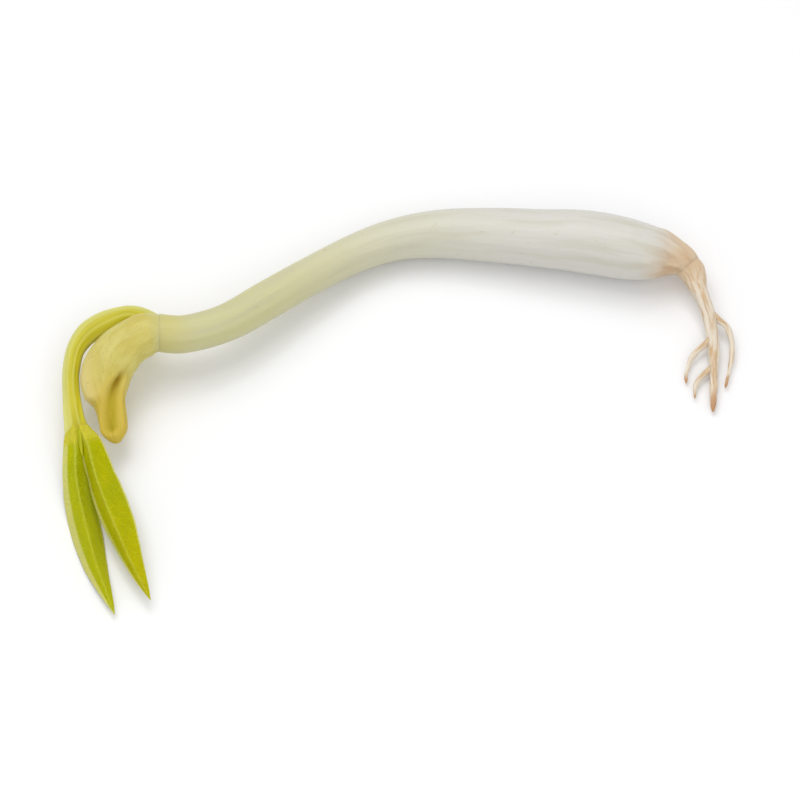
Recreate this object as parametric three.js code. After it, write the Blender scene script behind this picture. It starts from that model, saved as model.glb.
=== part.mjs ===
// A mung bean sprout, picked and washed, lying on a flat surface. Millimetres, +Z up.
// +X runs along the stem towards the root. The hook, the leaves and the root all bend towards -Y.
// The origin is on the surface, below the middle of the whole sprout.
//
// The white stem, the hypocotyl, thins from the root collar to the hook. At its top sit one curled
// seed leaf, the cotyledon, and the green stalk, the epicotyl, that ends in two folded leaves with
// the terminal bud between them. The taproot and its side roots leave the other end.
// Every piece is one closed solid, grown along a line of its own.

import * as THREE from "three";

// Driving dimensions: half widths, in millimetres.
const stemHalf = { collar: 0.74, belly: 1.68, middle: 1.02, neck: 0.98 };
const rootHalf = { collar: 0.6, middle: 0.33, tip: 0.16 };
const sideRootHalf = { base: 0.2, tip: 0.12 };
const cotyledonHalf = { base: 0.95, widest: 1.3, lobe: 0.82, tip: 0.6 };
const stalkHalf = { base: 0.53, middle: 0.48, fork: 0.72 };
const leafHalf = 1.35;
const budHalf = 0.18;

// Half thicknesses where a piece is flatter than it is wide, in millimetres.
const cotyledonThick = { base: 0.8, widest: 0.9, tip: 0.5 };
const stalkThick = { base: 0.42, fork: 0.34 };
const leafThick = 0.14;

// What each tissue looks like.
const tissue = {
  stem: new THREE.MeshStandardMaterial({ color: 0xe9e8dc, roughness: 0.35, metalness: 0 }),
  root: new THREE.MeshStandardMaterial({ color: 0xd8b48c, roughness: 0.6, metalness: 0 }),
  cotyledon: new THREE.MeshStandardMaterial({ color: 0xd2cb7a, roughness: 0.45, metalness: 0 }),
  stalk: new THREE.MeshStandardMaterial({ color: 0xc6cb55, roughness: 0.4, metalness: 0 }),
  leaf: new THREE.MeshStandardMaterial({ color: 0xa9b414, roughness: 0.45, metalness: 0 }),
};

const up = new THREE.Vector3(0, 0, 1);
const sprout = new THREE.Group();

// A smooth line through hand-placed points.
function through(...points) {
  const corners = points.map((p) => new THREE.Vector3(...p));
  return new THREE.CatmullRomCurve3(corners, false, "catmullrom", 0.5);
}

// A size that changes along a line: eased from one [share of the way, size] to the next.
function eased(...stations) {
  return (share) => {
    const next = Math.max(1, stations.findIndex(([at]) => at >= share));
    const [fromAt, fromSize] = stations[next - 1];
    const [toAt, toSize] = stations[next];
    const ease = THREE.MathUtils.smoothstep(share, fromAt, toAt);
    return THREE.MathUtils.lerp(fromSize, toSize, ease);
  };
}

// How full the section is near an end: 0 at the end itself, rising to 1 as a quarter circle does.
function roundedEnd(distance, radius) {
  const inside = THREE.MathUtils.clamp(1 - distance / radius, 0, 1);
  return Math.sqrt(1 - inside * inside);
}

// Grows one closed solid along a line. half(share) is the half width there and thick(share) the
// half thickness. roll turns the section about the line, and fold bends its two sides down from
// the middle, as a blade folds along its midrib. Both are in degrees.
function grow(name, material, line, size) {
  const { half, thick = half, roll = 0, fold = 0, startRound, endRound, steps, sides } = size;
  const profile = [];
  for (let i = 0; i <= steps; i++) {
    const share = (1 - Math.cos((Math.PI * i) / steps)) / 2;
    const fullness = i === 0 || i === steps ? 0 : 1;
    profile.push(new THREE.Vector2(fullness, share));
  }
  const geometry = new THREE.LatheGeometry(profile, sides);
  const place = geometry.getAttribute("position");
  const length = line.getLength();
  const rollAngle = THREE.MathUtils.degToRad(roll);
  const foldAngle = THREE.MathUtils.degToRad(fold);
  const across = new THREE.Vector3();
  const above = new THREE.Vector3();
  for (let i = 0; i < place.count; i++) {
    const share = place.getY(i);
    const along = share * length;
    const forward = line.getTangentAt(share);
    across.crossVectors(forward, up).normalize().applyAxisAngle(forward, rollAngle);
    above.crossVectors(across, forward);
    const fullness = roundedEnd(along, startRound) * roundedEnd(length - along, endRound);
    const width = place.getX(i) * half(share) * fullness;
    const depth = place.getZ(i) * thick(share) * fullness;
    const sideways = width * Math.cos(foldAngle);
    const lift = depth - Math.abs(width) * Math.sin(foldAngle);
    const point = line.getPointAt(share).addScaledVector(across, sideways).addScaledVector(above, lift);
    place.setXYZ(i, point.x, point.y, point.z);
  }
  geometry.computeVertexNormals();
  const piece = new THREE.Mesh(geometry, material);
  piece.name = name;
  sprout.add(piece);
}

// ---- Stem: it lies along its thick end and its bend, and rises towards the hook.
const stemLine = through(
  [15.46, 7.98, 1.24],
  [14.94, 8.5, 1.4],
  [14.14, 8.78, 1.55],
  [13.14, 8.91, 1.67],
  [12.04, 9.14, 1.69],
  [10.64, 9.46, 1.68],
  [9.24, 9.68, 1.66],
  [7.64, 9.84, 1.59],
  [5.14, 10.15, 1.43],
  [2.44, 10.28, 1.27],
  [-0.16, 9.94, 1.15],
  [-2.36, 9.05, 1.22],
  [-4.56, 7.6, 1.56],
  [-6.86, 5.88, 1.95],
  [-8.96, 4.38, 2.27],
  [-11.16, 3.58, 2.52],
  [-12.86, 3.58, 2.67],
);
grow("hypocotyl", tissue.stem, stemLine, {
  half: eased([0, stemHalf.collar], [0.13, stemHalf.belly], [0.62, stemHalf.middle], [1, stemHalf.neck]),
  startRound: 0.6,
  endRound: 0.7,
  steps: 44,
  sides: 16,
});

// ---- Taproot: it leaves the collar, comes down to the surface and trails along it.
const taprootLine = through(
  [15.51, 7.88, 1.21],
  [15.79, 7.08, 1.06],
  [16.14, 6.18, 0.92],
  [16.38, 5.38, 0.74],
  [16.48, 4.18, 0.52],
  [16.5, 2.78, 0.36],
  [16.48, 1.38, 0.26],
  [16.4, 0.18, 0.22],
);
grow("taproot", tissue.root, taprootLine, {
  half: eased([0, rootHalf.collar], [0.3, rootHalf.middle], [1, rootHalf.tip]),
  startRound: 0.35,
  endRound: 0.5,
  steps: 22,
  sides: 10,
});

// ---- Side roots: thin threads that start just outside the taproot.
const sideRootLines = [
  through([16.8, 5.4, 0.76], [17.25, 5.0, 0.6], [17.5, 4.1, 0.4], [17.4, 3.0, 0.26], [17.08, 1.6, 0.2]),
  through([15.96, 3.93, 0.5], [15.4, 3.38, 0.36], [15.1, 2.58, 0.24], [15.04, 1.88, 0.2]),
  through([16.06, 2.43, 0.34], [15.56, 1.78, 0.26], [15.46, 0.98, 0.2]),
];
sideRootLines.forEach((line, i) => {
  grow(`side_root_${i + 1}`, tissue.root, line, {
    half: eased([0, sideRootHalf.base], [1, sideRootHalf.tip]),
    startRound: 0.15,
    endRound: 0.3,
    steps: 10,
    sides: 6,
  });
});

// ---- Cotyledon: the seed leaf, spent and curled over the front of the hook.
const cotyledonLine = through(
  [-12.99, 3.47, 2.7],
  [-13.74, 3.08, 2.73],
  [-14.51, 2.46, 2.6],
  [-15.04, 1.56, 2.35],
  [-15.1, 0.46, 2.05],
  [-14.86, -0.8, 1.8],
  [-14.58, -2.31, 1.45],
);
grow("cotyledon", tissue.cotyledon, cotyledonLine, {
  half: eased(
    [0, cotyledonHalf.base],
    [0.45, cotyledonHalf.widest],
    [0.75, cotyledonHalf.lobe],
    [1, cotyledonHalf.tip],
  ),
  thick: eased([0, cotyledonThick.base], [0.45, cotyledonThick.widest], [1, cotyledonThick.tip]),
  startRound: 0.5,
  endRound: 0.7,
  steps: 20,
  sides: 16,
});

// ---- Epicotyl: the stalk of the leaves, arching over beside the cotyledon.
const stalkLine = through(
  [-12.74, 4.26, 2.4],
  [-13.6, 4.72, 2.28],
  [-14.34, 4.8, 2.23],
  [-15.3, 4.46, 2.15],
  [-16.2, 3.88, 2.06],
  [-16.8, 2.96, 1.98],
  [-17.01, 1.85, 1.91],
  [-17.03, 1.0, 1.86],
  [-16.95, 0.0, 1.8],
  [-16.8, -1.06, 1.75],
  [-16.32, -2.5, 1.64],
);
grow("epicotyl", tissue.stalk, stalkLine, {
  half: eased([0, stalkHalf.base], [0.5, stalkHalf.middle], [1, stalkHalf.fork]),
  thick: eased([0, stalkThick.base], [1, stalkThick.fork]),
  startRound: 0.4,
  endRound: 0.3,
  steps: 26,
  sides: 10,
});

// ---- Leaves: two blades folded along the midrib, which is uppermost. The left one rests on the
// surface and the right one leans over it.
const leaves = {
  leaf_left: {
    fold: 50,
    roll: 0,
    line: through(
      [-16.69, -2.72, 1.5],
      [-16.64, -4.12, 1.4],
      [-16.34, -5.72, 1.2],
      [-15.91, -7.48, 1.04],
      [-15.42, -9.18, 0.8],
      [-14.5, -11.6, 0.3],
    ),
  },
  leaf_right: {
    fold: 45,
    roll: 18,
    line: through(
      [-16.02, -2.62, 1.76],
      [-15.56, -4.45, 1.98],
      [-15.0, -6.07, 2.03],
      [-14.26, -7.89, 1.86],
      [-13.56, -9.36, 1.4],
      [-12.66, -10.97, 0.7],
    ),
  },
};
for (const [name, { fold, roll, line }] of Object.entries(leaves)) {
  grow(name, tissue.leaf, line, {
    half: (share) => leafHalf * Math.sin(Math.PI * share ** 0.7) ** 0.8,
    thick: () => leafThick,
    roll,
    fold,
    startRound: 0.3,
    endRound: 0.4,
    steps: 22,
    sides: 12,
  });
}

// ---- Terminal bud: a small point in the fork between the two leaves.
const budLine = through([-16.32, -2.42, 2.12], [-16.24, -3.22, 2.24], [-16.11, -3.82, 2.26]);
grow("terminal_bud", tissue.stalk, budLine, {
  half: eased([0, budHalf], [1, budHalf]),
  startRound: 0.2,
  endRound: 0.7,
  steps: 8,
  sides: 8,
});

export default sprout;
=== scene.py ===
import math

import bpy
import numpy as np
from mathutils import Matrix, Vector, noise


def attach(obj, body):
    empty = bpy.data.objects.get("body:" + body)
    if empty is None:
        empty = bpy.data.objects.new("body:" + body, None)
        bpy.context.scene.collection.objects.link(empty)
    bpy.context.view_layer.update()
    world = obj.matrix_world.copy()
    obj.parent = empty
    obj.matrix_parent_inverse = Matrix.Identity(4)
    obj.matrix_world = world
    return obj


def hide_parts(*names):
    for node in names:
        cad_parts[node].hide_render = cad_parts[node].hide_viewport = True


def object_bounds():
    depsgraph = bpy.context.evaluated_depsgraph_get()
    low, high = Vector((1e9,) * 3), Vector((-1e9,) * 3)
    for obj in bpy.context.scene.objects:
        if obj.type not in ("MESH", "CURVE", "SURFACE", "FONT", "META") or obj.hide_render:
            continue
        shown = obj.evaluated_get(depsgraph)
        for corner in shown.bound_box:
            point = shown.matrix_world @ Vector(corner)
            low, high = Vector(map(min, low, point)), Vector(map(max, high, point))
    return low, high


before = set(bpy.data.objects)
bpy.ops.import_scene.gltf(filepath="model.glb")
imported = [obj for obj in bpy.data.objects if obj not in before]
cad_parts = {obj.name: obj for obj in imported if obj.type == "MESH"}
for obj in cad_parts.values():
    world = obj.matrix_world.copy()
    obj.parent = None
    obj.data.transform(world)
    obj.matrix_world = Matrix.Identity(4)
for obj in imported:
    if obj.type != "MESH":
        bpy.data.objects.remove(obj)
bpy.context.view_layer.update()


# ---- Hypocotyl ---------------------------------------------------------------------------------
# The thick white stem below the seed leaves: crisp watery flesh under a thin moist skin. It grows
# in one piece from the root collar, where it is tan and puckered, to the hook, where it turns
# yellow-green. Faint ribs run along it, and a shed seed leaf has left a scar under the hook's back.

MM = 0.001


def smooth(value, low, high):
    """0 below low, 1 above high, eased between them. Works with high below low too."""
    t = np.clip((value - low) / (high - low), 0, 1)
    return t * t * (3 - 2 * t)


def flowing(*stations):
    """A size that changes along a line: straight from one (share of the way, size) to the next,
    with the corners rounded off."""
    ats, sizes = zip(*stations)
    walk = np.linspace(-0.1, 1.1, 1201)
    rounding = np.hanning(81)
    rounding /= rounding.sum()
    sizes = np.convolve(np.interp(np.pad(walk, 40, "edge"), ats, sizes), rounding, "valid")
    return lambda share: np.interp(share, walk, sizes)


def around(angle, towards):
    """How far an angle is from another one, from -pi to pi."""
    return (angle - towards + np.pi) % (2 * np.pi) - np.pi


def ripple(x, y, z):
    """Smooth noise at each place, about -0.5 to 0.5, one wave per unit."""
    flat = np.stack(np.broadcast_arrays(x, y, z), -1)
    values = [noise.noise(Vector(place)) for place in flat.reshape(-1, 3)]
    return np.array(values).reshape(flat.shape[:-1])


class Line:
    """A smooth line through given points in millimetres, walked by its length."""

    def __init__(self, *points):
        p = np.array(points, float)
        p = np.vstack([2 * p[0] - p[1], p, 2 * p[-1] - p[-2]])
        t = np.linspace(0, 1, 120, endpoint=False)[:, None]
        walk = []
        for a, b, c, d in zip(p, p[1:], p[2:], p[3:]):
            square = 2 * a - 5 * b + 4 * c - d
            cube = 3 * b - a - 3 * c + d
            walk.append(0.5 * (2 * b + (c - a) * t + square * t**2 + cube * t**3))
        self.walk = np.vstack([*walk, p[-2:-1]])
        steps = np.linalg.norm(np.diff(self.walk, axis=0), axis=1)
        self.gone = np.concatenate([[0], np.cumsum(steps)])
        self.length = self.gone[-1]

    def at(self, share):
        return np.stack([np.interp(share * self.length, self.gone, way) for way in self.walk.T], -1)

    def forward(self, share):
        ahead = self.at(np.minimum(share + 0.002, 1)) - self.at(np.maximum(share - 0.002, 0))
        return ahead / np.linalg.norm(ahead, axis=-1, keepdims=True)


def rounded_end(distance, radius):
    """How full the section is near an end: 0 at the end, rising to 1 as a quarter circle does."""
    return np.sqrt(1 - np.clip(1 - distance / radius, 0, 1) ** 2)


def grow(name, line, half, thick, rounds, rings, sides, form):
    """One closed piece grown along a line, in millimetres. half and thick give the section's half
    width and half thickness by the share of the way, and without thick the section is round. rounds
    are the lengths of the two rounded ends. form gets each point's share, angle, reach along the
    line, x to the side, y up and fullness, and returns a new x and y, and marks for the material."""
    share = (1 - np.cos(np.pi * np.arange(1, rings) / rings)) / 2
    turn = 2 * np.pi * np.arange(sides) / sides
    share, angle = np.meshgrid(share, turn, indexing="ij")
    reach = share * line.length
    full = rounded_end(reach, rounds[0]) * rounded_end(line.length - reach, rounds[1])
    wide, deep = half(share), (thick or half)(share)
    x, y = np.cos(angle) * wide * full, np.sin(angle) * deep * full
    straight = np.stack([np.cos(angle) * wide, np.sin(angle) * deep, reach], -1)
    x, y, marks = form(share, angle, reach, x, y, full)
    forward = line.forward(share)
    across = np.cross(forward, (0, 0, 1))
    across /= np.linalg.norm(across, axis=-1, keepdims=True)
    above = np.cross(across, forward)
    skin = line.at(share) + across * x[..., None] + above * y[..., None]
    ends = [skin[0].mean(0), skin[-1].mean(0)]
    points = np.vstack([skin.reshape(-1, 3), ends]) * MM

    count = rings - 1
    i, j = np.meshgrid(np.arange(count - 1), np.arange(sides), indexing="ij")
    here, beside = i * sides + j, i * sides + (j + 1) % sides
    quads = np.stack([here, here + sides, beside + sides, beside], -1).reshape(-1, 4)
    first, last = np.arange(sides), (count - 1) * sides + np.arange(sides)
    start = [(count * sides, a, b) for a, b in zip(first, np.roll(first, -1))]
    finish = [(count * sides + 1, b, a) for a, b in zip(last, np.roll(last, -1))]
    mesh = bpy.data.meshes.new(name)
    mesh.from_pydata(points.tolist(), [], [*quads.tolist(), *start, *finish])
    mesh.shade_smooth()

    # Each point's place as if the piece had grown straight, for the grain of its material.
    straight_ends = np.array([[0, 0, 0], [0, 0, line.length]])
    growth = mesh.attributes.new("growth", "FLOAT_VECTOR", "POINT")
    growth.data.foreach_set("vector", np.vstack([straight.reshape(-1, 3), straight_ends]).ravel())
    for mark, values in marks.items():
        held = mesh.attributes.new(mark, "FLOAT", "POINT")
        values = np.broadcast_to(values, share.shape)
        held.data.foreach_set("value", [*values.ravel(), values[0].mean(), values[-1].mean()])
    piece = bpy.data.objects.new(name, mesh)
    bpy.context.scene.collection.objects.link(piece)
    return piece


def tint(code):
    """The shader's colour for a paint chip's six-digit code."""
    parts = [int(code[i : i + 2], 16) / 255 for i in (0, 2, 4)]
    return (*[p / 12.92 if p < 0.04 else ((p + 0.055) / 1.055) ** 2.4 for p in parts], 1)


class Signal:
    """A value or colour on its way to the shader. Each sum on values adds its own node."""

    def __init__(self, tissue, socket):
        self.tissue, self.socket = tissue, socket

    def sum(self, operation, *values):
        return self.tissue.node("Math", {"operation": operation}, dict(enumerate(values)))

    def __add__(self, other):
        return self.sum("ADD", self, other)

    def __sub__(self, other):
        return self.sum("SUBTRACT", self, other)

    def __rsub__(self, other):
        return self.sum("SUBTRACT", other, self)

    def __mul__(self, other):
        return self.sum("MULTIPLY", self, other)

    __radd__, __rmul__ = __add__, __mul__


class Tissue:
    """One living surface: a material, its steady values, and the nodes that vary over it."""

    def __init__(self, name, steady):
        self.material = bpy.data.materials.new(name)
        self.material.use_nodes = True
        self.shader = self.material.node_tree.nodes["Principled BSDF"]
        for socket, value in steady.items():
            self.feed(self.shader.inputs[socket], value)
        self.growth = self.node("Attribute", {"attribute_name": "growth"}, out="Vector")
        self.along = self.node("SeparateXYZ", {}, {0: self.growth}, out="Z")

    def feed(self, socket, value):
        if isinstance(value, Signal):
            self.material.node_tree.links.new(value.socket, socket)
        else:
            socket.default_value = value

    def node(self, kind, settings=None, sockets=None, out=0):
        """Adds a node: its settings first, then the values or signals of its sockets."""
        made = self.material.node_tree.nodes.new("ShaderNode" + kind)
        for setting, value in (settings or {}).items():
            setattr(made, setting, value)
        for socket, value in (sockets or {}).items():
            self.feed(made.inputs[socket], value)
        return Signal(self, made.outputs[out])

    def mark(self, name):
        return self.node("Attribute", {"attribute_name": name}, out="Fac")

    def grain(self, size, detail=3.0):
        """Noise from 0 to 1 with waves of size (across, across, along) millimetres."""
        scale = tuple(1 / s for s in size)
        place = self.node("VectorMath", {"operation": "MULTIPLY"}, {0: self.growth, 1: scale})
        return self.node("TexNoise", {}, {"Vector": place, "Scale": 1.0, "Detail": detail})

    def step(self, value, low, high):
        """0 where value is low, 1 where it is high, eased between."""
        settings = {"interpolation_type": "SMOOTHSTEP"}
        return self.node("MapRange", settings, {0: value, 1: low, 2: high, 3: 0.0, 4: 1.0})

    def blend(self, share, start, end):
        """The colour start where share is 0 and end where it is 1."""
        return self.node("Mix", {"data_type": "RGBA"}, {0: share, 6: start, 7: end}, out=2)

    def finish(self, colour, roughness, relief, height):
        """Ends the nodes at the shader. relief is 0 to 1, and height is its depth in millimetres."""
        bump = self.node("Bump", {}, {"Height": relief, "Strength": 1.0, "Distance": height * MM})
        for socket, value in {"Base Color": colour, "Roughness": roughness, "Normal": bump}.items():
            self.feed(self.shader.inputs[socket], value)
        return self.material


stem_half = flowing(
    (0, 0.62),
    (0.04, 0.95),
    (0.062, 1.28),
    (0.09, 1.53),
    (0.13, 1.67),
    (0.195, 1.67),
    (0.264, 1.54),
    (0.351, 1.44),
    (0.438, 1.27),
    (0.526, 1.1),
    (0.62, 1.01),
    (0.75, 1.0),
    (0.87, 0.97),
    (1, 1.0),
)
stem_line = Line(
    (15.46, 7.98, 1.24),
    (14.94, 8.5, 1.4),
    (14.14, 8.78, 1.55),
    (13.14, 8.91, 1.67),
    (12.04, 9.14, 1.69),
    (10.64, 9.46, 1.68),
    (9.24, 9.68, 1.66),
    (7.64, 9.84, 1.59),
    (5.14, 10.15, 1.43),
    (2.44, 10.28, 1.27),
    (-0.16, 9.94, 1.15),
    (-2.36, 9.05, 1.22),
    (-4.56, 7.6, 1.56),
    (-6.86, 5.88, 1.95),
    (-8.96, 4.38, 2.27),
    (-11.16, 3.58, 2.52),
    (-12.86, 3.58, 2.67),
)
# Root buds under the collar's skin: how far along, at what angle, how wide and how high.
root_buds = [
    (1.9, 0.6, 0.22, 0.05),
    (2.6, 2.5, 0.26, 0.05),
    (1.5, 4.0, 0.24, 0.05),
    (3.6, 1.5, 0.24, 0.03),
]
scar_reach, scar_angle, scar_size = stem_line.length - 1.9, 5.2, 0.5
scar_rim, scar_depth = 0.07, 0.05
swell_height, rib_height, fine_rib_height, pucker_height = 0.12, 0.024, 0.01, 0.13


def stem_form(share, angle, reach, x, y, full):
    c, s = np.cos(angle), np.sin(angle)
    collar = 1 - smooth(reach, 0.6, 3.2)
    swell = swell_height * ripple(c * 0.4, s * 0.4, reach * 0.19)
    ribs = rib_height * ripple(c * 4, s * 4, reach * 0.14)
    ribs = ribs + fine_rib_height * ripple(c * 9, s * 9, reach * 0.35)
    pucker = pucker_height * collar * ripple(c * 3.2, s * 3.2, 4 + reach * 0.6)
    push = (swell + ribs) * smooth(reach.max() - reach, 0.2, 2.5) + pucker
    for at, towards, size, height in root_buds:
        push += height * np.exp(-((reach - at) ** 2 + (around(angle, towards) * 1.4) ** 2) / size**2)
    from_scar = np.hypot((reach - scar_reach) * 0.7, around(angle, scar_angle)) / scar_size
    push += scar_rim * np.exp(-(((from_scar - 1) / 0.3) ** 2))
    push -= scar_depth * np.exp(-(from_scar**2) * 2)
    push *= full * smooth(reach, 0.0, 1.2)
    return x + push * c, y + push * s, {"scar": np.exp(-(from_scar**2))}


stem = grow("hypocotyl", stem_line, stem_half, None, (0.35, 0.4), 460, 112, stem_form)

stem_flesh = Tissue(
    "stem_flesh",
    {
        "Subsurface Weight": 0.45,
        "Subsurface Radius": (1.0, 0.94, 0.8),
        "Subsurface Scale": 1.2 * MM,
        "IOR": 1.38,
        "Specular IOR Level": 0.4,
        "Coat Weight": 0.12,
        "Coat Roughness": 0.15,
    },
)
fibre = stem_flesh.grain((0.5, 0.5, 6), 4.0)
mottle = stem_flesh.grain((1.8, 1.8, 3.5))
reach = stem_flesh.along + (mottle - 0.5) * 2.0
collar = 1 - stem_flesh.step(reach, 0.9, 3.0)
greener = stem_flesh.step(stem_flesh.along, 8.0, 27.0)
node_mark = stem_flesh.step(reach, stem_line.length - 2.4, stem_line.length - 0.5)
flecks = stem_flesh.step(stem_flesh.grain((0.35, 0.35, 0.5), 2.0), 0.68, 0.74)
colour = stem_flesh.blend(greener, tint("d4d2ca"), tint("c9c696"))
colour = stem_flesh.blend(stem_flesh.step(fibre, 0.45, 0.7) * 0.35, colour, tint("bfbba4"))
colour = stem_flesh.blend(flecks * 0.2, colour, tint("bf9f72"))
colour = stem_flesh.blend(collar * 0.85, colour, tint("d8bd9a"))
colour = stem_flesh.blend(collar * stem_flesh.step(fibre, 0.4, 0.6) * 0.35, colour, tint("b5895a"))
colour = stem_flesh.blend(node_mark * 0.7, colour, tint("cbc172"))
colour = stem_flesh.blend(stem_flesh.mark("scar") * 0.8, colour, tint("a8863f"))
stem.data.materials.append(
    stem_flesh.finish(
        colour,
        0.3 + 0.16 * mottle + 0.25 * collar,
        stem_flesh.grain((0.16, 0.16, 2.2)) + 0.4 * stem_flesh.grain((0.07, 0.07, 0.1), 2.0),
        0.025,
    )
)
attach(stem, "root")
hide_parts("hypocotyl")


# ---- Taproot -----------------------------------------------------------------------------------
# The main root, a thin cream cord with a tan skin. It grows out of the collar in one piece with
# the stem, bends down beside it to the surface, and has dried to light brown at its tip.

root_half = flowing((0, 0.7), (0.08, 0.73), (0.13, 0.62), (0.21, 0.45), (0.32, 0.34), (0.7, 0.27), (1, 0.12))
root_line = Line(
    (14.94, 8.5, 1.4),
    (15.46, 7.98, 1.24),
    (15.79, 7.08, 1.06),
    (16.14, 6.18, 0.92),
    (16.38, 5.38, 0.74),
    (16.48, 4.18, 0.52),
    (16.5, 2.78, 0.36),
    (16.48, 1.38, 0.26),
    (16.4, 0.18, 0.22),
)
wrinkle_height, fine_wrinkle_height, knot_height = 0.09, 0.05, 0.05


def root_form(share, angle, reach, x, y, full):
    c, s = np.cos(angle), np.sin(angle)
    wrinkles = wrinkle_height * ripple(c * 1.6, s * 1.6, 7 + reach * 0.5)
    wrinkles = wrinkles + fine_wrinkle_height * ripple(c * 4, s * 4, reach)
    knots = knot_height * ripple(c * 0.3, s * 0.3, reach * 1.7)
    push = (wrinkles + knots) * full * np.minimum(1, np.hypot(x, y) / 0.3) * smooth(reach, 0.3, 1.5)
    return x + push * c, y + push * s, {}


def root_skin(name, length, tan_until, brown_from):
    """Root skin: tan where it starts, then cream with tan streaks, and light brown at its tip.
    length, tan_until and brown_from are places along it, in millimetres."""
    skin = Tissue(
        name,
        {
            "Subsurface Weight": 0.3,
            "Subsurface Radius": (1.0, 0.8, 0.55),
            "Subsurface Scale": 0.35 * MM,
            "IOR": 1.4,
            "Coat Weight": 0.1,
            "Coat Roughness": 0.25,
        },
    )
    streaks = skin.grain((0.16, 0.16, 1.4), 3.0)
    patches = skin.grain((0.8, 0.8, 1.2), 2.0)
    brown = skin.step(skin.along + (patches - 0.5) * 1.4, brown_from, length)
    colour = skin.blend(skin.step(streaks, 0.44, 0.66), tint("e3d8c6"), tint("cdae86"))
    colour = skin.blend(skin.step(patches, 0.55, 0.75) * 0.5, colour, tint("bb9468"))
    colour = skin.blend(0.8 - 0.8 * skin.step(skin.along, 0.0, tan_until), colour, tint("d2b48e"))
    colour = skin.blend(brown, colour, tint("b98a5c"))
    relief = streaks + 0.5 * skin.grain((0.06, 0.06, 0.12), 2.0)
    return skin.finish(colour, 0.42 + 0.2 * patches, relief, 0.035)


taproot = grow("taproot", root_line, root_half, None, (0.35, 0.5), 220, 40, root_form)
taproot.data.materials.append(root_skin("taproot_skin", root_line.length, 2.6, root_line.length - 1.8))
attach(taproot, "root")
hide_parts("taproot")


# ---- Side roots --------------------------------------------------------------------------------
# Three thread-thin branches of the taproot. Each breaks out through its skin, from inside, and
# trails on the surface with a light brown tip.

side_root_half = flowing((0, 0.22), (0.2, 0.17), (0.6, 0.13), (1, 0.06))
side_root_knots = 0.05
side_root_lines = [
    Line(
        (16.34, 5.75, 0.82),
        (16.8, 5.4, 0.76),
        (17.25, 5.0, 0.6),
        (17.5, 4.1, 0.4),
        (17.4, 3.0, 0.26),
        (17.08, 1.6, 0.2),
    ),
    Line((16.44, 4.35, 0.56), (15.96, 3.93, 0.5), (15.4, 3.38, 0.36), (15.1, 2.58, 0.24), (15.04, 1.88, 0.2)),
    Line((16.48, 2.72, 0.36), (16.06, 2.43, 0.34), (15.56, 1.78, 0.26), (15.46, 0.98, 0.2)),
]


def side_root_form(share, angle, reach, x, y, full):
    push = side_root_knots * ripple(np.cos(angle) * 0.8, np.sin(angle) * 0.8, reach * 1.8) * full
    return x + push * np.cos(angle), y + push * np.sin(angle), {}


for number, line in enumerate(side_root_lines, 1):
    name = f"side_root_{number}"
    side_root = grow(name, line, side_root_half, None, (0.15, 0.3), 90, 20, side_root_form)
    side_root.data.materials.append(root_skin(name + "_skin", line.length, 0.9, line.length - 0.8))
    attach(side_root, "root")
    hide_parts(name)


# ---- Cotyledon ---------------------------------------------------------------------------------
# The one seed leaf that is left: a spent, waxy, pale yellow body grown onto the hook. It has
# curled lengthwise, so that its two edges meet as lips over a deep groove near its end. The groove
# and a pit at its top are painted a darker olive as shade, and a bulging lobe on one side is
# painted paler as a highlight.

seed_half = flowing(
    (0, 0.78),
    (0.13, 0.88),
    (0.19, 1.02),
    (0.25, 1.16),
    (0.34, 1.2),
    (0.44, 1.33),
    (0.54, 1.27),
    (0.65, 1.14),
    (0.76, 0.86),
    (0.93, 0.7),
    (1, 0.52),
)
seed_thick = flowing((0, 0.78), (0.13, 0.88), (0.24, 1.1), (0.38, 0.95), (0.62, 0.9), (1, 0.46))
seed_line = Line(
    (-10.96, 3.58, 2.51),
    (-12.06, 3.58, 2.6),
    (-12.99, 3.47, 2.7),
    (-13.74, 3.08, 2.73),
    (-14.51, 2.46, 2.6),
    (-15.04, 1.56, 2.35),
    (-15.1, 0.46, 2.05),
    (-14.86, -0.8, 1.8),
    (-14.58, -2.31, 1.45),
)
# The groove between the lips: its angle round the section and its half width, by the share of the way.
groove_angle = flowing((0.6, 2.3), (0.74, 1.85), (0.9, 1.2), (1, 1.1))
groove_half = flowing((0.56, 0.15), (0.7, 0.28), (0.9, 0.4), (1, 0.3))
groove_depth, pit_depth, lip_height, lobe_height, crease_depth = 0.28, 0.03, 0.05, 0.24, 0.08
seed_swell, seed_fold_height, seed_wrinkle_height = 0.08, 0.03, 0.012


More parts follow.
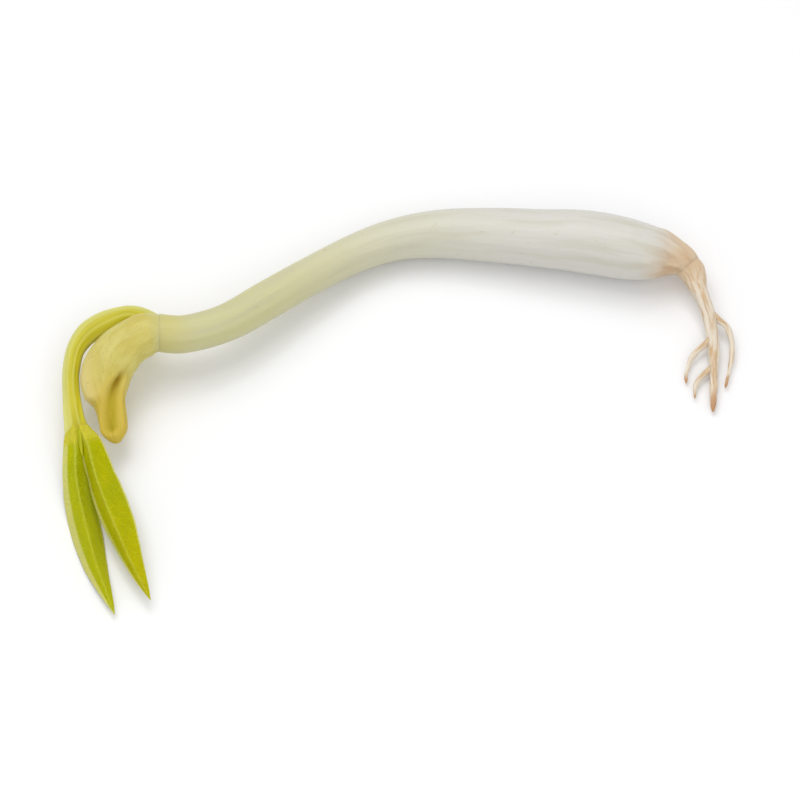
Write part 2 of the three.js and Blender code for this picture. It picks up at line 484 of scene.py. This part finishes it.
def seed_form(share, angle, reach, x, y, full):
    c, s = np.cos(angle), np.sin(angle)
    from_tip = reach.max() + reach.min() - reach
    gap = around(angle, groove_angle(share)) * np.maximum(np.hypot(x, y), 0.3)
    open_here = (1 - smooth(from_tip, 3.2, 4.1)) * smooth(from_tip, 0.3, 0.8)
    wide = groove_half(share)
    groove = np.exp(-((gap / wide) ** 2)) * open_here
    lips = np.exp(-(((np.abs(gap) - wide * 1.7) / 0.15) ** 2)) * open_here
    pit = np.exp(-((gap / 0.16) ** 2) - ((from_tip - 3.2) / 0.6) ** 2)
    lobe = np.exp(-((around(angle, 0.25) / 0.75) ** 2)) * smooth(from_tip, 2.15, 2.6)
    lobe = lobe * (1 - smooth(from_tip, 3.3, 5.4))
    crease = np.exp(-((around(angle, 1.2) / 0.15) ** 2)) * smooth(from_tip, 2.6, 3.2)
    crease = crease * (1 - smooth(from_tip, 4.6, 5.6))
    push = seed_swell * ripple(c * 0.9, s * 0.9, 3 + reach * 0.5)
    push = push + seed_fold_height * ripple(c * 3.5, s * 3.5, reach * 0.5)
    push = push + seed_wrinkle_height * ripple(c * 9, s * 9, reach * 1.5)
    push = push * smooth(reach, 1.2, 2.8)
    push = push + lip_height * lips - groove_depth * groove - pit_depth * pit
    push = push + lobe_height * lobe - crease_depth * crease
    push = push * full
    # The groove and pit marks carry painted shade, and the lobe mark a painted highlight.
    return x + push * c, y + push * s, {"groove": groove, "lips": lips, "lobe": lobe, "pit": pit}


seed_leaf = grow("cotyledon", seed_line, seed_half, seed_thick, (0.5, 0.85), 300, 168, seed_form)

seed_flesh = Tissue(
    "seed_flesh",
    {
        "Subsurface Weight": 0.3,
        "Subsurface Radius": (1.0, 0.8, 0.3),
        "Subsurface Scale": 0.5 * MM,
        "IOR": 1.38,
        "Specular IOR Level": 0.3,
        "Coat Weight": 0.05,
        "Coat Roughness": 0.3,
    },
)
patches = seed_flesh.grain((0.9, 0.9, 1.6), 3.0)
wrinkles = seed_flesh.grain((0.22, 0.22, 0.9), 4.0)
pores = seed_flesh.step(seed_flesh.grain((0.16, 0.16, 0.2), 1.0), 0.66, 0.74)
groove = seed_flesh.mark("groove")
tip_side = seed_flesh.step(seed_flesh.along, seed_line.length - 4.2, seed_line.length - 1.8)
stem_side = 1 - seed_flesh.step(seed_flesh.along + (patches - 0.5) * 1.2, 1.3, 2.5)
colour = seed_flesh.blend(seed_flesh.step(patches, 0.35, 0.65), tint("d2c876"), tint("c9bc60"))
colour = seed_flesh.blend(tip_side, colour, tint("ccb446"))
# Painted highlight: the bulging lobe is painted paler where light falls on it.
colour = seed_flesh.blend(seed_flesh.mark("lobe") * 0.9, colour, tint("dfcf8a"))
colour = seed_flesh.blend(seed_flesh.step(wrinkles, 0.5, 0.75) * 0.35, colour, tint("b4a244"))
colour = seed_flesh.blend(pores * 0.25, colour, tint("a08a35"))
colour = seed_flesh.blend(stem_side, colour, tint("cdc686"))
colour = seed_flesh.blend(seed_flesh.mark("lips") * 0.5, colour, tint("cdb44c"))
# Painted shade: the groove and the pit at its top are painted a darker olive where the recess lies in shadow.
colour = seed_flesh.blend(seed_flesh.step(groove, 0.0, 0.9) * 0.85, colour, tint("b3a01c"))
colour = seed_flesh.blend(seed_flesh.mark("pit") * 0.8, colour, tint("a47e0c"))
seed_leaf.data.materials.append(
    seed_flesh.finish(
        colour,
        0.4 + 0.2 * patches,
        wrinkles + 0.3 * seed_flesh.grain((0.07, 0.07, 0.07), 2.0),
        0.035,
    )
)
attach(seed_leaf, "root")
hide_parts("cotyledon")


# ---- Epicotyl ----------------------------------------------------------------------------------
# The young stalk above the seed leaves: a flattened, ribbed, yellow-green strap. It leaves the hook
# behind the cotyledon, arches over, and widens into the fork where the two leaves part.

stalk_half = flowing(
    (0, 0.35),
    (0.08, 0.5),
    (0.2, 0.56),
    (0.28, 0.53),
    (0.36, 0.63),
    (0.45, 0.62),
    (0.54, 0.49),
    (0.66, 0.44),
    (0.79, 0.47),
    (0.875, 0.55),
    (0.93, 0.68),
    (1, 0.5),
)
stalk_thick = flowing((0, 0.35), (0.12, 0.5), (0.33, 0.42), (0.73, 0.36), (0.865, 0.24), (1, 0.1))
stalk_line = Line(
    (-11.3, 3.6, 2.5),
    (-12.0, 3.82, 2.48),
    (-12.74, 4.26, 2.4),
    (-13.6, 4.72, 2.28),
    (-14.34, 4.8, 2.23),
    (-15.3, 4.46, 2.15),
    (-16.2, 3.88, 2.06),
    (-16.8, 2.96, 1.98),
    (-17.01, 1.85, 1.91),
    (-17.03, 1.0, 1.86),
    (-16.95, 0.0, 1.8),
    (-16.78, -1.06, 1.72),
    (-16.45, -2.5, 1.3),
)
rib_angles = (0.15, 1.15, 1.9, 2.7, 3.6, 4.4, 5.2)
strap_rib_height, furrow_depth, cleft_depth = 0.025, 0.015, 0.1
strap_swell, strap_ridge_height = 0.03, 0.02


def stalk_form(share, angle, reach, x, y, full):
    c, s = np.cos(angle), np.sin(angle)
    ribs = sum(np.exp(-((around(angle, rib) / 0.24) ** 2)) for rib in rib_angles)
    cleft = smooth(share, 0.8, 0.96) * np.exp(-((c / 0.3) ** 2))
    push = strap_rib_height * ribs - furrow_depth - cleft_depth * cleft
    push = push + strap_ridge_height * ripple(c * 3, s * 3, reach * 0.4)
    push = (push + strap_swell * ripple(c * 0.6, s * 0.6, reach * 0.6)) * full
    # outer_edge places a painted highlight: a pale band along this side of the strap.
    outer_edge = np.exp(-(((c - 1) / 0.6) ** 2))
    return x + push * c, y + push * s, {"outer_edge": outer_edge, "ribs": ribs}


stalk = grow("epicotyl", stalk_line, stalk_half, stalk_thick, (0.4, 0.9), 280, 80, stalk_form)


def green_stalk(name, edge, middle, deep):
    """Moist young stalk: a pale band where outer_edge marks it, which on the strap is a painted highlight
    along its edge, ribs lightened towards that pale colour, yellower furrows, and lengthwise fibres.
    """
    skin = Tissue(
        name,
        {
            "Subsurface Weight": 0.35,
            "Subsurface Radius": (1.0, 0.95, 0.2),
            "Subsurface Scale": 0.45 * MM,
            "IOR": 1.38,
            "Specular IOR Level": 0.25,
            "Coat Weight": 0.06,
            "Coat Roughness": 0.2,
        },
    )
    fibres = skin.grain((0.12, 0.12, 2.4), 4.0)
    patches = skin.grain((0.7, 0.7, 1.6), 2.0)
    colour = skin.blend(skin.step(fibres, 0.4, 0.68), tint(middle), tint(deep))
    # Painted highlight: the pale colour laid along the outer edge mark.
    colour = skin.blend(skin.mark("outer_edge") * 0.85, colour, tint(edge))
    colour = skin.blend(skin.step(skin.mark("ribs"), 0.5, 1.0) * 0.25, colour, tint(edge))
    relief = fibres + 0.4 * skin.grain((0.06, 0.06, 0.2), 2.0)
    return skin.finish(colour, 0.34 + 0.2 * patches, relief, 0.025)


# dad98a is the painted highlight's colour along the strap's outer edge.
stalk.data.materials.append(green_stalk("stalk_skin", "dad98a", "c9bf2c", "bcb324"))
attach(stalk, "root")
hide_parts("epicotyl")


# ---- Leaves ------------------------------------------------------------------------------------
# The two first leaves, soft lime-green blades still folded along the midrib, which stands uppermost
# as a pale ridge. Veins slant from it to a pale margin, which on the side towards -X is widened into
# a painted highlight, and each tip tapers to a point.

leaf_half = flowing(
    (0, 0.2),
    (0.05, 0.4),
    (0.12, 0.64),
    (0.2, 0.86),
    (0.27, 1.1),
    (0.36, 1.3),
    (0.48, 1.37),
    (0.6, 1.29),
    (0.74, 1.0),
    (0.87, 0.57),
    (0.95, 0.26),
    (1, 0.03),
)
leaf_thick = flowing((0, 0.12), (0.3, 0.13), (1, 0.08))
vein_slant, vein_bend, vein_gap = 1.5, 0.12, 0.92
midrib_height, vein_height, puff_depth, flutter_height = 0.06, 0.018, 0.05, 0.16
ridge_radius, blade_droop = 0.12, 0.07
leaves = {
    "leaf_left": {
        "fold": 50,
        "roll": 0,
        "left_width": 1.0,
        "lit_rim": 0.4,
        "seed": 0.0,
        "line": Line(
            (-16.92, -0.9, 1.56),
            (-16.82, -1.8, 1.68),
            (-16.69, -2.72, 1.66),
            (-16.64, -4.12, 1.4),
            (-16.34, -5.72, 1.2),
            (-15.91, -7.48, 1.04),
            (-15.42, -9.18, 0.8),
            (-14.5, -11.6, 0.3),
        ),
    },
    "leaf_right": {
        "fold": 45,
        "roll": 18,
        "left_width": 0.84,
        "lit_rim": 0.26,
        "seed": 5.0,
        "line": Line(
            (-16.62, -0.9, 1.56),
            (-16.34, -1.8, 1.72),
            (-16.02, -2.62, 1.84),
            (-15.56, -4.45, 1.98),
            (-15.0, -6.07, 2.03),
            (-14.26, -7.89, 1.86),
            (-13.56, -9.36, 1.4),
            (-12.66, -10.97, 0.7),
        ),
    },
}


def folded_blade(fold, roll, left_width, lit_rim, seed):
    """The section of a folded blade: its midrib, slanting veins, pale margins and slight waves, with
    one margin widened into a painted highlight. fold and roll are in degrees. left_width is how much of
    its full width the half towards -X has, lit_rim is the share of that half taken up by its pale
    margin together with the painted highlight along it, and seed picks the waves."""
    fold, roll = math.radians(fold), math.radians(roll)

    def form(share, angle, reach, x, y, full):
        c = np.cos(angle)
        x = x * np.where(c > 0, left_width, 1.0)
        half, side = np.abs(c), np.abs(x)
        midrib = np.exp(-((side / 0.1) ** 2)) * (1 - 0.6 * share)
        wave = (reach - vein_slant * side + vein_bend * side**2) / vein_gap + np.where(c > 0, 0.0, 0.45)
        from_vein = np.abs((wave + 0.5) % 1 - 0.5) * vein_gap
        # Painted highlight: on the side towards -X the pale margin is widened by lit_rim into a lit band.
        edge = np.where(c > 0, lit_rim, 0.04)
        margin = smooth(half, 0.96 - edge, 0.985 - 0.75 * edge)
        vein = np.exp(-((from_vein / 0.06) ** 2)) * smooth(half, 0.03, 0.15) * (1 - smooth(half, 0.8, 0.97))
        vein = vein * smooth(share, 0.14, 0.24) * (1 - margin)
        y = y + np.sign(np.sin(angle)) * full * (midrib_height * midrib + vein_height * vein)
        flutter = flutter_height * ripple(reach * 0.45, np.where(c > 0, 2.0, 7.0), seed)
        flutter = flutter * half**2 * full
        puff = puff_depth * np.cos(2 * np.pi * wave) * half * (1 - half)
        puff = puff * full * smooth(share, 0.14, 0.3)
        crease = np.sqrt(side**2 + ridge_radius**2) - ridge_radius
        opening = fold * (0.4 + 0.65 * smooth(share, 0.08, 0.32))
        sideways = np.sign(x) * side * np.cos(opening)
        lift = y - crease * np.sin(opening) + flutter - puff - blade_droop * side**2
        turned = sideways * np.cos(roll) + lift * np.sin(roll)
        raised = lift * np.cos(roll) - sideways * np.sin(roll)
        return turned, raised, {"midrib": midrib, "vein": vein, "margin": margin}

    return form


def leaf_blade(name, green, light, yellow):
    """Soft leaf: lime green, lighter between fine cells, with pale midrib, veins and margin, the margin
    widened on one side into a painted highlight.
    """
    blade = Tissue(
        name,
        {
            "Subsurface Weight": 0.3,
            "Subsurface Radius": (0.7, 1.0, 0.05),
            "Subsurface Scale": 0.3 * MM,
            "IOR": 1.38,
            "Specular IOR Level": 0.08,
            "Coat Weight": 0.0,
        },
    )
    patches = blade.grain((0.8, 0.8, 1.8), 3.0)
    cells = blade.node("TexVoronoi", {"feature": "DISTANCE_TO_EDGE"}, {"Vector": blade.growth, "Scale": 5.0})
    net = 1 - blade.step(cells, 0.0, 0.1)
    colour = blade.blend(blade.step(patches, 0.35, 0.65), tint(green), tint(light))
    colour = blade.blend(blade.step(blade.along, 4.5, 10.5) * 0.6, colour, tint(yellow))
    colour = blade.blend(net * 0.14, colour, tint("c6cc30"))
    colour = blade.blend(blade.mark("vein") * 0.3, colour, tint("c4c82a"))
    colour = blade.blend(blade.mark("midrib") * 0.6, colour, tint("cbcb55"))
    # Painted highlight: the pale margin colour also covers the wide lit band along one side.
    colour = blade.blend(blade.mark("margin") * 0.85, colour, tint("dcda7e"))
    base = 1 - blade.step(blade.along + (patches - 0.5) * 0.6, 1.2, 1.9)
    colour = blade.blend(base, colour, tint("cdc53c"))
    relief = 0.6 * net + blade.grain((0.08, 0.08, 0.1), 2.0)
    return blade.finish(colour, 0.42 + 0.18 * patches, relief, 0.03)


leaf_colours = {
    "leaf_left": ("aeb400", "b8bb00", "bebc00"),
    "leaf_right": ("acae00", "b6b400", "c4b800"),
}
for name, leaf in leaves.items():
    line = leaf.pop("line")
    form = folded_blade(**leaf)
    blade = grow(name, line, leaf_half, leaf_thick, (0.3, 0.4), 320, 176, form)
    blade.data.materials.append(leaf_blade(name + "_skin", *leaf_colours[name]))
    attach(blade, "root")
    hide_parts(name)


# ---- Terminal bud ------------------------------------------------------------------------------
# The growing point in the fork between the two leaves: a tiny pointed tuft of folded leaflets.

bud_half = flowing((0, 0.08), (0.35, 0.1), (1, 0.03))
bud_line = Line((-16.56, -1.6, 1.72), (-16.47, -2.1, 1.8), (-16.39, -2.7, 1.8), (-16.32, -3.2, 1.76))
leaflet_height = 0.03


def bud_form(share, angle, reach, x, y, full):
    folds = np.abs(np.cos(1.5 * angle))
    leaflets = leaflet_height * folds * full
    marks = {"outer_edge": smooth(share, 0.5, 1.0), "ribs": folds}
    return x + leaflets * np.cos(angle), y + leaflets * np.sin(angle), marks


bud = grow("terminal_bud", bud_line, bud_half, None, (0.2, 0.5), 60, 36, bud_form)
bud.data.materials.append(green_stalk("bud_skin", "bdbc24", "b3b414", "a8aa10"))
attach(bud, "root")
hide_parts("terminal_bud")


# ---- Table, light and camera -------------------------------------------------------------------
# A plain pale table, a wide soft lamp above and behind, a weaker one in front, and an even white
# surround. The camera looks down at the sprout from the side that it bends to.

low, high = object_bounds()
middle = (low + high) / 2

table_mesh = bpy.data.meshes.new("table")
table_half = 2.0
corners = [(x * table_half, y * table_half, low.z) for x, y in ((-1, -1), (1, -1), (1, 1), (-1, 1))]
table_mesh.from_pydata(corners, [], [(0, 1, 2, 3)])
table = bpy.data.objects.new("table", table_mesh)
bpy.context.scene.collection.objects.link(table)
table_top = bpy.data.materials.new("table_top")
table_top.use_nodes = True
table_shader = table_top.node_tree.nodes["Principled BSDF"]
table_shader.inputs["Base Color"].default_value = tint("f3f3f4")
table_shader.inputs["Roughness"].default_value = 0.22
table_shader.inputs["Specular IOR Level"].default_value = 0.35
table_mesh.materials.append(table_top)


def lamp(name, place, size, power):
    data = bpy.data.lights.new(name, "AREA")
    data.shape, data.size, data.energy = "DISK", size, power
    light = bpy.data.objects.new(name, data)
    light.location = middle + Vector(place)
    light.rotation_mode = "QUATERNION"
    light.rotation_quaternion = (middle - light.location).to_track_quat("-Z", "Y")
    bpy.context.scene.collection.objects.link(light)


lamp("back_lamp", (-0.06, 0.1, 0.24), 0.24, 0.275)
lamp("front_lamp", (0.06, -0.16, 0.22), 0.26, 0.15)

surround = bpy.data.worlds.new("surround")
surround.use_nodes = True
white_sky = surround.node_tree.nodes["Background"]
white_sky.inputs["Color"].default_value = (1, 1, 1, 1)
white_sky.inputs["Strength"].default_value = 0.69
bpy.context.scene.world = surround
bpy.context.scene.view_settings.view_transform = "Standard"

elevation = math.radians(62)
picture_width = 0.0415
lens, film = 240.0, 36.0
distance = picture_width * lens / film
camera_data = bpy.data.cameras.new("camera")
camera_data.lens, camera_data.sensor_width = lens, film
camera_data.clip_start, camera_data.clip_end = 0.005, 10.0
camera = bpy.data.objects.new("camera", camera_data)
camera.location = middle + Vector((0, -math.cos(elevation), math.sin(elevation))) * distance
camera.rotation_mode = "QUATERNION"
camera.rotation_quaternion = (middle - camera.location).to_track_quat("-Z", "Y")
bpy.context.scene.collection.objects.link(camera)
bpy.context.scene.camera = camera
